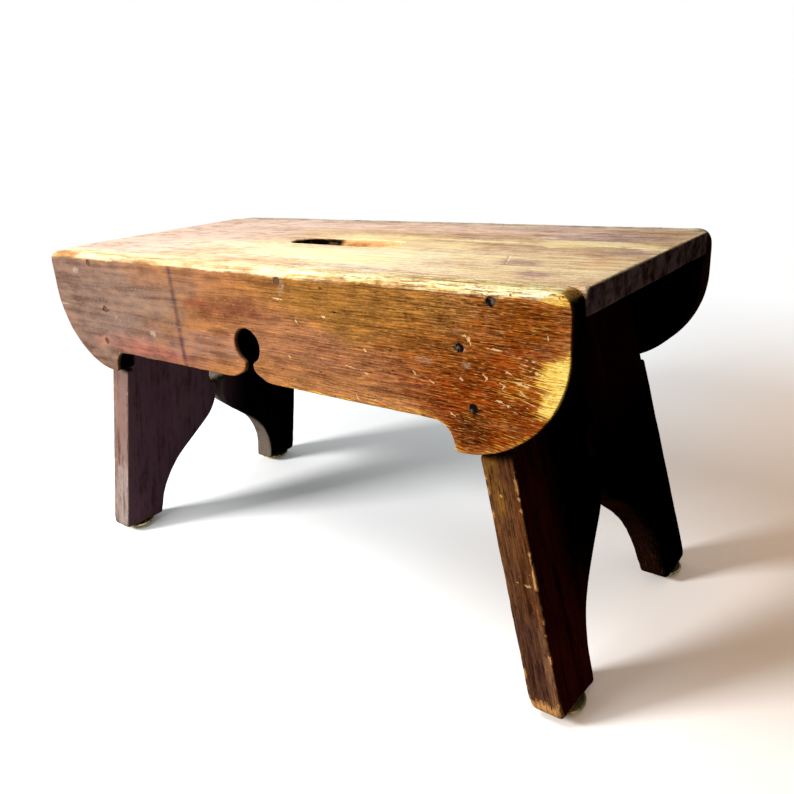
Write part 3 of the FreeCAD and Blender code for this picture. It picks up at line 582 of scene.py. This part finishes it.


# Places on a leg are millimetres up from the foot along the board, and across it, -b to the front,
# or the depth t on its front edge. Each row has the right leg's tone, then the left's; the right
# leg's face tones are painted dark as shade.
legTones = [
    (30, -50, 50, 40, "#160a06", "#76586c", 0.6), (120, -40, 60, 12, "#28120a", "#9c7484", 0.5),
    (150, 40, 50, 12, "#28120a", "#6c4e54", 0.6), (90, -60, 60, 10, "#1e0e08", "#84586a", 0.5)]
legEdgeTones = [
    (30, 8, 46, 12, "#583a2c", "#a4928a", 1), (165, 6, 60, 9, "#8c6228", "#846a62", 1),
    (100, 17, 90, 4, "#60371c", "#8c746c", 0.8), (30, 15.5, 50, 2.5, "#946a4c", "#94807a", 0.6),
    (70, 5, 22, 5, "#5c3c2a", "#8c746c", 0.7)]
legEdgeStrokes = [
    (72, 3, 69, 14, 0.5), (74, 8, 75, 16, 0.4), (120, 6, 112, 9, 0.4), (150, 12, 140, 13, 0.4)]


def legWear(side):
    right = side > 0
    tones, edgeTones = ([(*row[:4], row[4 if right else 5], row[6]) for row in rows]
                        for rows in (legTones, legEdgeTones))

    def wear(points, gaps, rims):
        a, b, t = points.T
        edge = points[:, [0, 2]]
        outer = ease(t, 11, 16)
        front = ease(-b, 60, 75)
        # painted shade: the right leg is painted nearly black, the left a purple brown
        tone = layTones(points, "#20100a" if right else "#8e6a78", tones)
        # the outer face: painted black as shade on the right leg, with streaks of red stain, and
        # brown on the left
        blend(tone, outer, "#070302" if right else "#3a221a")
        streaked = outer * right * (0.7 + 0.5 * hills(points * [0.1, 1, 1], 5, 36))
        blend(tone, streaked * ease(-b, 45, 66), "#602014")
        blend(tone, streaked * ease(-b, -10, 60) * (1 - ease(a, 20, 75)), "#682010")
        blend(tone, 0.7 * streaked * ease(b, -20, 30) * ease(a, 100, 150), "#501410")
        # painted shade: the inner face of the left leg darkens to the rear
        blend(tone, ease(b, -20, 30) * (1 - outer) * (not right), "#120b0d")
        # the walls of the keyhole and the arch, and the front edge
        arch = rims * (1 - front) * (np.abs(b) < 75)
        blend(tone, arch * right * ease(a, 40, 100) * ease(np.abs(b), 14, 20), "#5c2818")
        blend(tone, arch * (not right), "#7a6e62")
        blend(tone, rims * front, layTones(np.stack([a, t, 0 * t], axis=1),
                                           "#623f26" if right else "#86695f", edgeTones))
        # chips along the front edge, and the right foot rubbed bare
        rubbed = ease(hills(points, 8, 33) + 0.9 * hills(points, 2.2, 34), -0.5, 0.5)
        chips = (1 - ease(gaps, 0.0, 1.3)) * (0.05 + 0.72 * rubbed) * front
        foot = 0.95 * rims * (1 - ease(a + 3 * hills(points, 3, 35), 2, 11)) * right * front
        return {"bare": np.maximum(chips * (1 if right else 0.5), foot), "tone": tone,
                "scratch": layStrokes(edge, legEdgeStrokes) * rims * front * right,
                "crisp": -0.25 * (1 - outer) * (not right),
                "pale": 0.35 * oval(points, (60, -60), (70, 30)) * rims * (1 - 0.6 * right)}
    return wear


# The radius of a worn arris in millimetres, along a loop and for one face.
def frontArris(ring, side):
    # large along the outer top edge, small at the seat
    upper = ease(ring[:, 1], top - 2.5, top - 0.8)
    upper = upper * (1 - 0.8 * ease(ring[:, 0], 182, 198))
    return 0.8 + upper * (2.3 if side == 0 else -0.55)


def seatArris(ring, side):
    # small between the aprons, larger at the ends
    long = np.abs(np.abs(ring[:, 1]) - seatHalf) < 0.2
    return np.where(long, 0.3, 1.5)


def legArris(ring, side):
    # largest at the foot
    return 0.8 + 1.4 * (1 - ease(ring[:, 0], 1, 8))


# Each board: its frame, its thickness and mesh steps (loops, walls, the two faces' grids), how its
# arrises, corners (a, b, radius and its two signs) and faces are worn, and its slot.
apronEnd, seatEnd = stool["apronLength"] / 2, stool["seatLength"] / 2
seatHalf = half - stool["apronThick"]
frontApron = {
    "axes": [(1, 0, 0), (0, 0, 1), (0, 1, 0)], "origin": (0, -half, 0),
    "thick": stool["apronThick"], "step": 1.3, "wallStep": 2.2, "grid": (1.7, 4.5), "seed": 11,
    "arris": frontArris, "wear": frontWear, "slot": "apron_wood",
    "corners": [(-apronEnd, top, 8, -1, 1), (apronEnd, top, 1.5, 1, 1)],
    "extra": fineStrokes(fromTop(frontScratches + frontPins, 2)),
}
rearApron = dict(frontApron, axes=[(1, 0, 0), (0, 0, 1), (0, -1, 0)], origin=(0, half, 0), seed=23,
                 grid=(2.4, 4.5), wear=rearWear, extra=fineStrokes(fromTop(rearScratches, 2)))
seatBoard = {
    "axes": [(1, 0, 0), (0, 1, 0), (0, 0, -1)], "origin": (0, 0, top), "thick": stool["seatThick"],
    "step": 1.3, "wallStep": 2.2, "grid": (1.9, 5), "arris": seatArris, "seed": 37,
    "wear": seatWear, "slot": "seat_wood", "extra": fineStrokes(seatScratches), "corners": [],
    "outline": np.array([(-1, -1), (1, -1), (1, 1), (-1, 1)]) * (seatEnd, seatHalf),
}


def legBoard(side, seed):
    lo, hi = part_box("right_leg" if side > 0 else "left_leg")
    c, s = cos(stool["splay"]), sin(stool["splay"])
    foot = (hi.x if side > 0 else lo.x) / mm - side * stool["legThick"] / c
    return {
        "axes": [(-side * s, 0, c), (0, 1, 0), (side * c, 0, s)], "origin": (foot, 0, lo.z / mm),
        "thick": stool["legThick"], "step": 1.5, "wallStep": 1.8, "grid": (2.6, 2.6),
        "arris": legArris, "seed": seed, "wear": legWear(side), "slot": "leg_wood", "extra": [],
        "corners": [], "level": {"top": (hi.z - lo.z) / mm / c, "slope": s / c},
    }


# ---- materials ----

def addNode(tree, kind, inputs=(), **settings):
    # an input is given a value, a socket, or a node that stands for its first output
    node = tree.nodes.new("ShaderNode" + kind)
    for key, value in settings.items():
        setattr(node, key, value)
    for socket, value in dict(inputs).items():
        if isinstance(value, bpy.types.Node):
            value = value.outputs[0]
        if isinstance(value, bpy.types.NodeSocket):
            tree.links.new(value, node.inputs[socket])
        else:
            node.inputs[socket].default_value = value
    return node


def emptyTree(owner):
    # the node tree of a material or the world, without its first nodes
    owner.use_nodes = True
    owner.node_tree.nodes.clear()
    return owner.node_tree


reliefDepth = 0.0003  # metres between the lowest and the highest of a noise


def oldPine(name, look):
    # pine is ringed: pale soft early wood and hard dark late wood, here under an old worn stain
    material = bpy.data.materials.new(name)
    tree = emptyTree(material)
    board = addNode(tree, "Attribute", attribute_name="board").outputs["Vector"]
    noises = {}
    for key, (along, across, through, detail, rough, turn) in look["noises"].items():
        drawn = addNode(tree, "Mapping", {
            "Vector": board, "Scale": [along * mm, across * mm, through * mm],
            "Rotation": [0, 0, radians(turn)]}, vector_type="TEXTURE")
        noises[key] = addNode(tree, "TexNoise", {"Vector": drawn, "Scale": 1.0, "Detail": detail,
                                                 "Roughness": rough})

    # growth rings: distance from the pith line, bent by slow noise, over the ring spacing. A ring
    # darkens slowly to its late wood and ends at once.
    off = addNode(tree, "VectorMath", {0: board, 1: [0, *(p * mm for p in look["pith"])]},
                  operation="SUBTRACT")
    off = addNode(tree, "VectorMath", {0: off, 1: [0, 1, 1]}, operation="MULTIPLY")
    radius = addNode(tree, "VectorMath", {0: off}, operation="LENGTH").outputs["Value"]
    for key, bend in look["sway"].items():
        radius = addNode(tree, "Math", {0: noises[key], 1: bend * mm, 2: radius},
                         operation="MULTIPLY_ADD")
    turns = addNode(tree, "Math", {0: radius, 1: 1000 / look["ringSpacing"]}, operation="MULTIPLY")
    turns = addNode(tree, "Math", {0: turns}, operation="FRACT")
    rings = addNode(tree, "ValToRGB", {0: turns})
    for place, value in ((0.0, 0.0), (1.0, 0.0), (0.5, 0.25), (0.85, 1.0)):
        stop = rings.color_ramp.elements[int(place)] if value == 0 else \
            rings.color_ramp.elements.new(place)
        stop.position, stop.color = place, [value] * 3 + [1]
    noises["rings"] = rings

    # masks: an attribute plus weighed noises, then a soft threshold. Noise lies round 0.5.
    coats = ("wood", "stain", "all")
    used = {"bare", *look["relief"], *(layer[0] for coat in coats for layer in look[coat])}
    for key, (attribute, weights, low, high) in look["masks"].items():
        if key not in used:
            continue
        total = 0.0
        if attribute:  # the others lie all over the wood
            total = addNode(tree, "Attribute", attribute_name=attribute).outputs["Fac"]
        for noise, weight in weights.items():
            total = addNode(tree, "Math", {0: noises[noise], 1: weight, 2: total},
                            operation="MULTIPLY_ADD")
        middle = 0.5 * sum(weights.values())
        noises[key] = addNode(tree, "MapRange", {
            "Value": total, "From Min": low + middle, "From Max": high + middle},
            interpolation_type="SMOOTHSTEP")

    # colours: each layer goes over the last by its mask, for the bare wood, the stain, and the top
    tone = addNode(tree, "Attribute", attribute_name="tone").outputs["Color"]
    paints = {"wood": linear(look["bareWood"]), "stain": tone}
    for coat in coats:
        if coat == "all":
            paints[coat] = addNode(tree, "Mix", {0: noises["bare"], 6: paints["stain"],
                                                 7: paints["wood"]}, data_type="RGBA").outputs[2]
        for mask, mode, colour, strength in look[coat]:
            cover = addNode(tree, "Math", {0: noises[mask], 1: strength}, operation="MULTIPLY")
            paints[coat] = addNode(tree, "Mix", {0: cover, 6: paints[coat], 7: linear(colour)},
                                   data_type="RGBA", blend_type=mode).outputs[2]
    rough = addNode(tree, "MapRange", {"Value": noises["bare"], "To Min": look["rough"][0],
                                       "To Max": look["rough"][1]})

    # relief: raised late wood, open fibres and dents
    height = 0.0
    for key, weight in look["relief"].items():
        height = addNode(tree, "Math", {0: noises[key], 1: weight, 2: height},
                         operation="MULTIPLY_ADD")
    bump = addNode(tree, "Bump", {"Height": height, "Strength": 0.6, "Distance": reliefDepth})
    shader = addNode(tree, "BsdfPrincipled", {"Base Color": paints["all"], "Roughness": rough,
                                              "Normal": bump, "Specular IOR Level": look["shine"]})
    addNode(tree, "OutputMaterial", {"Surface": shader})
    return material


# size along, across and through the board in mm, detail, roughness of the noise, turn in degrees
grain = {
    "fibre": (16, 0.8, 0.8, 4, 0.7, 0),     # open fibres, drawn as coarse as they need to show
    "streak": (70, 3.5, 3.5, 4, 0.6, 0),    # bands of colour along the grain
    "cloud": (20, 9, 9, 6, 0.7, 0),         # blotches of the stain
    "grit": (2.2, 1.3, 1.3, 3, 0.75, 0),    # dents, crumbs and specks
    "sway": (160, 30, 30, 2, 0.5, 0),       # slow bends of the rings
    "curl": (24, 8, 8, 2, 0.5, 0),          # small bends of the rings
    "nick": (5, 0.6, 0.6, 1, 0.5, 0),       # short light scratches along the grain
    "slash": (12, 0.5, 3, 2, 0.5, -7),      # slanting scratches where the stain frays away
}

# a red-brown spirit stain, thin and golden in places, rubbed to bare wood on the edges. The pith is
# (across, through) in mm. A mask has an attribute, the weights of noises, and the sums where it
# begins and is full, and a layer of colour has a mask, its way to blend, a colour and a strength.
apronFinish = {
    "noises": grain, "pith": (-60, 110), "sway": {"sway": 9, "curl": 1.4, "fibre": 0.5},
    "ringSpacing": 1.5,
    "masks": {
        "bare": ("bare", {"fibre": 2.2, "slash": 1.8, "streak": 0.6}, 0.5, 0.75),
        "thin": ("bare", {"fibre": 2.2, "slash": 1.8, "streak": 0.6}, 0.34, 0.6),
        "dark": ("dark", {"cloud": 0.3, "fibre": 0.3, "grit": 0.3}, 0.3, 0.8),
        "pale": ("pale", {"grit": 1.4, "cloud": 0.6}, 0.35, 0.9),
        "scratch": ("scratch", {"grit": 2.0}, 0.4, 0.8),
        "nicked": ("crisp", {"nick": 1.0}, 0.13, 0.22),
        "glint": ("crisp", {"fibre": -1.0, "grit": 0.6}, 0.12, 0.26),
        "specked": ("specks", {"grit": 1.0, "cloud": 0.5}, 0.16, 0.28),
        "pitted": ("crisp", {"grit": -1.0, "fibre": -0.6}, 0.14, 0.34),
        "blotch": (None, {"cloud": 1.0, "streak": 0.8}, -0.05, 0.25),
        "wash": (None, {"cloud": -1.0, "streak": -0.6}, -0.05, 0.25),
        "lined": ("crisp", {"rings": 0.5, "streak": 0.6, "fibre": 0.8}, -0.1, 0.4),
        "open": ("crisp", {"fibre": 1.0, "grit": 0.4}, 0.0, 0.2),
        "shut": ("crisp", {"fibre": -1.0, "grit": -0.4}, 0.0, 0.2),
    },
    "bareWood": "#fbd258",
    "wood": [("lined", "MIX", "#d0801c", 0.5), ("shut", "MIX", "#fff09c", 0.9),
             ("open", "MIX", "#a45c18", 0.85)],
    "stain": [("lined", "MULTIPLY", "#8c6450", 0.5), ("blotch", "MULTIPLY", "#9c7464", 0.6),
              ("wash", "OVERLAY", "#fff0d8", 0.5), ("open", "MULTIPLY", "#4c2210", 0.85),
              ("shut", "OVERLAY", "#fff4dc", 1.0), ("thin", "MIX", "#b8640e", 0.55)],
    "all": [("pitted", "MULTIPLY", "#5a3020", 0.6), ("dark", "MIX", "#1c0e08", 0.85),
            ("glint", "MIX", "#cc8c40", 0.5), ("specked", "MIX", "#d8a868", 0.6),
            ("nicked", "MIX", "#cc9850", 0.55), ("pale", "MIX", "#c0ac98", 0.5),
            ("scratch", "MIX", "#dcb884", 0.85)],
    "rough": (0.6, 0.7), "shine": 0.0, "relief": {"fibre": 0.5, "grit": 0.5, "lined": 0.15},
}
# the seat: pine rubbed almost free of stain, cream where it is handled and greyed by dirt
seatFinish = dict(
    apronFinish, pith=(30, 160), ringSpacing=2.6, bareWood="#fde8ae",
    masks=dict(apronFinish["masks"],
               bare=("bare", {"fibre": 1.2, "streak": 2.6, "cloud": 1.2}, 0.25, 0.85)),
    wood=[("lined", "MIX", "#dca254", 0.5), ("shut", "MIX", "#fff6d4", 0.6),
          ("open", "MIX", "#b0703c", 0.5)],
    stain=[("lined", "MULTIPLY", "#b48c74", 0.6), ("blotch", "MULTIPLY", "#b08c84", 0.8),
           ("wash", "SCREEN", "#a08048", 0.7), ("open", "MULTIPLY", "#8a5c44", 0.7),
           ("shut", "SCREEN", "#8a7448", 0.7)],
    all=[("pitted", "MULTIPLY", "#6a4030", 0.5), ("dark", "MIX", "#3a2a2e", 0.8),
         ("nicked", "MIX", "#eac894", 0.3), ("scratch", "MIX", "#f4e4c0", 0.9)])
# the legs: the stain, under painted shade nearly black on the right leg, with tan wood where it has
# chipped
legFinish = dict(
    apronFinish, pith=(-60, 90), ringSpacing=2.4, bareWood="#dca060",
    masks=dict(apronFinish["masks"], bare=("bare", {"fibre": 1.8, "grit": 1.2}, 0.36, 0.6)),
    wood=[("lined", "MIX", "#b06a2c", 0.6), ("open", "MIX", "#5c3414", 0.85)],
    stain=[("lined", "MULTIPLY", "#8c6450", 0.5), ("blotch", "MULTIPLY", "#9c7464", 0.7),
           ("open", "MULTIPLY", "#4c2210", 0.85), ("shut", "OVERLAY", "#ffe8c8", 0.9)],
    all=[("pitted", "MULTIPLY", "#5a3020", 0.6), ("nicked", "MIX", "#7c4a28", 0.2),
         ("pale", "MIX", "#b09a88", 0.4), ("scratch", "MIX", "#d0a868", 0.8)])

boards = [("front_apron", frontApron, apronFinish), ("rear_apron", rearApron, apronFinish),
          ("seat_board", seatBoard, seatFinish), ("left_leg", legBoard(-1, 41), legFinish),
          ("right_leg", legBoard(1, 53), legFinish)]
for node, look, finish in boards:
    piece = buildBoard(node, look)
    piece.data.materials.append(oldPine(node + "_old_stained_pine", finish))
print("boards ready")


# ---- nails and glides ----

def oldMetal(name, look):
    # clean metal with dull spots, sized in mm, where a noise is above the edge
    material = bpy.data.materials.new(name)
    tree = emptyTree(material)
    place = addNode(tree, "TexCoord").outputs["Object"]
    spots = addNode(tree, "TexNoise", {"Vector": place, "Scale": 1000 / look["spot"],
                                       "Detail": 4.0, "Roughness": 0.6})
    cover = addNode(tree, "MapRange", {
        "Value": spots, "From Min": look["edge"], "From Max": look["edge"] + 0.15},
        interpolation_type="SMOOTHSTEP")
    paint = addNode(tree, "Mix", {0: cover, 6: linear(look["clean"]), 7: linear(look["dull"])},
                    data_type="RGBA")
    if "stained" in look:  # stained over from one place along x to another
        colour, first, full = look["stained"]
        across = addNode(tree, "SeparateXYZ", {0: place}).outputs["X"]
        onLeft = addNode(tree, "MapRange", {"Value": across, "From Min": first, "From Max": full})
        paint = addNode(tree, "Mix", {0: onLeft, 6: paint.outputs[2], 7: linear(colour)},
                        data_type="RGBA")
    metal, rough = (addNode(tree, "MapRange", {
        "Value": cover, "To Min": look[key][0], "To Max": look[key][1]})
        for key in ("metal", "rough"))
    bump = addNode(tree, "Bump", {"Height": spots, "Strength": 0.5, "Distance": reliefDepth})
    shader = addNode(tree, "BsdfPrincipled", {
        "Base Color": paint.outputs[2], "Metallic": metal, "Roughness": rough, "Normal": bump,
        "Specular IOR Level": look["shine"]})
    addNode(tree, "OutputMaterial", {"Surface": shader})
    return material


# tarnished brass: warm yellow metal where it rubs, olive brown where it has dulled
agedBrass = oldMetal("tarnished_brass", {
    "spot": 5, "clean": "#c4b078", "dull": "#94845a", "metal": (0.6, 0.2), "rough": (0.45, 0.7),
    "edge": 0.45, "shine": 0.2})
# old wire nail: grey steel with dark oxide
agedSteel = oldMetal("oxidised_steel", {
    "spot": 1.5, "clean": "#8f8a84", "dull": "#231c18", "metal": (0.8, 0.3), "rough": (0.4, 0.75),
    "edge": 0.42, "shine": 0.2})
# nail heads driven flush: those on the left are stained over with the board, so that only a soft
# brown dot shows, and those of the right leg have lost the stain and are frosted with dirt
stainedSteel = oldMetal("stained_nail_head", {
    "spot": 2.0, "clean": "#5c5248", "dull": "#180e09", "metal": (0.0, 0.0), "rough": (0.7, 0.9),
    "edge": 0.35, "shine": 0.0, "stained": ("#5e4636", 0.12, 0.08)})
for node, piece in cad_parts.items():
    if "nail" in node or "glide" in node:
        metal = agedBrass if "cap" in node else agedSteel if "glide" in node else stainedSteel
        piece.data.materials.clear()
        piece.data.materials.append(metal)
print("metal ready")


# ---- floor, light and camera ----

# a lamp has watts, a size and a place. The lengths in metres are the floor's half width, where the
# paper turns white, how far the stool shades it, and where the warm tint of its painted room light
# is full.
studio = {"paper": "#fdfcfb", "bounce": "#7c7a78", "glow": 0.5, "leftTint": "#fafeff",
          "rightTint": "#ffd8b6", "fill": 0.05, "reach": 8.0, "white": (0.4, 0.95),
          "shade": 0.35, "warmAt": 0.25, "front": (20.0, 0.30, (-0.677, -0.899, 0.65)),
          "overhead": (2.6, 0.25, (-0.12, -0.30, 0.62)), "aim": (0, 0, 0.12)}


def seenStraight(tree):
    # 1 where the camera, a reflection or a refraction looks, 0 for the light that lands on things
    path = addNode(tree, "LightPath")
    seen = path.outputs["Is Camera Ray"]
    for other in ("Is Glossy Ray", "Is Transmission Ray"):
        seen = addNode(tree, "Math", {0: seen, 1: path.outputs[other]}, operation="MAXIMUM")
    return seen


# white paper: a matt sheet whose white comes from what the camera sees, so that shadows stay soft.
# Far from the object it is all white and meets the backdrop without a line.
reach = studio["reach"]
floorMesh = bpy.data.meshes.new("floor")
floorMesh.from_pydata([(-reach, -reach, 0), (reach, -reach, 0), (reach, reach, 0),
                       (-reach, reach, 0)], [], [(0, 1, 2, 3)])
floor = addItem("floor", floorMesh)
paper = bpy.data.materials.new("white_paper")
tree = emptyTree(paper)
seen = seenStraight(tree)
place = addNode(tree, "TexCoord").outputs["Object"]
away = addNode(tree, "VectorMath", {0: place}, operation="LENGTH").outputs["Value"]
whiteness = addNode(tree, "MapRange", {
    "Value": away, "From Min": studio["white"][0], "From Max": studio["white"][1]},
    interpolation_type="SMOOTHSTEP")
whiteness = addNode(tree, "Math", {0: whiteness, 1: seen}, operation="MULTIPLY")
sheet = addNode(tree, "Mix", {0: seen, 6: linear(studio["bounce"]),
                              7: linear(studio["paper"])}, data_type="RGBA")
matt = addNode(tree, "BsdfDiffuse", {"Color": sheet.outputs[2]})
# painted room light on the paper: a glow, tinted warm to the right, and less where the stool stands
# over it, a painted shadow
openness = addNode(tree, "AmbientOcclusion", {"Distance": studio["shade"]}, samples=8)
roomLight = addNode(tree, "Math", {0: openness.outputs["AO"], 1: studio["glow"]},
                    operation="MULTIPLY")
roomLight = addNode(tree, "Math", {0: roomLight, 1: seen}, operation="MULTIPLY")
toRight = addNode(tree, "SeparateXYZ", {0: place}).outputs["X"]
toRight = addNode(tree, "MapRange", {"Value": toRight, "From Max": studio["warmAt"]})
roomTint = addNode(tree, "Mix", {0: toRight, 6: linear(studio["leftTint"]),
                                 7: linear(studio["rightTint"])}, data_type="RGBA")
room = addNode(tree, "Emission", {"Color": roomTint.outputs[2], "Strength": roomLight})
nearPaper = addNode(tree, "AddShader", {0: matt, 1: room})
farPaper = addNode(tree, "Emission", {"Color": [1, 1, 1, 1], "Strength": 1.0})
surface = addNode(tree, "MixShader", {0: whiteness, 1: nearPaper, 2: farPaper})
addNode(tree, "OutputMaterial", {"Surface": surface})
floorMesh.materials.append(paper)

world = bpy.data.worlds.new("studio")
scene.world = world
tree = emptyTree(world)
strength = addNode(tree, "MapRange", {"Value": seenStraight(tree), "To Min": studio["fill"],
                                      "To Max": 1.0})
sky = addNode(tree, "Background", {"Color": [1, 1, 1, 1], "Strength": strength})
addNode(tree, "OutputWorld", {"Surface": sky})


def addLamp(name, power, size, place):
    # a square lamp aimed at the middle of the stool
    lamp = bpy.data.lights.new(name, "AREA")
    lamp.size, lamp.energy = size, power
    item = addItem(name, lamp)
    item.location = place
    away = Vector(studio["aim"]) - Vector(place)
    item.rotation_euler = away.to_track_quat("-Z", "Y").to_euler()


addLamp("front_lamp", *studio["front"])
addLamp("overhead_lamp", *studio["overhead"])

# the photograph's view: seen from the front right, a little above, and tipped to one side
view = {"place": (0.32803, -0.36920, 0.28935), "turn": 38.7356, "down": 19.6201, "tip": -3.853,
        "lens": 34.22}
turn, down, tip = (radians(view[key]) for key in ("turn", "down", "tip"))
ahead = Vector((-sin(turn) * cos(down), cos(turn) * cos(down), -sin(down)))
level = ahead.cross(Vector((0, 0, 1))).normalized()
below = ahead.cross(level)
right = level * cos(tip) - below * sin(tip)
under = level * sin(tip) + below * cos(tip)
camera = addItem("camera", bpy.data.cameras.new("camera"))
camera.data.sensor_width, camera.data.lens = 36, view["lens"]
camera.data.clip_start, camera.data.clip_end = 0.01, 40
camera.matrix_world = Matrix.Translation(view["place"]) @ Matrix(
    (right, -under, -ahead)).transposed().to_4x4()
scene.camera = camera
scene.view_settings.view_transform = "Standard"
print("stage ready")

bpy.context.view_layer.update()
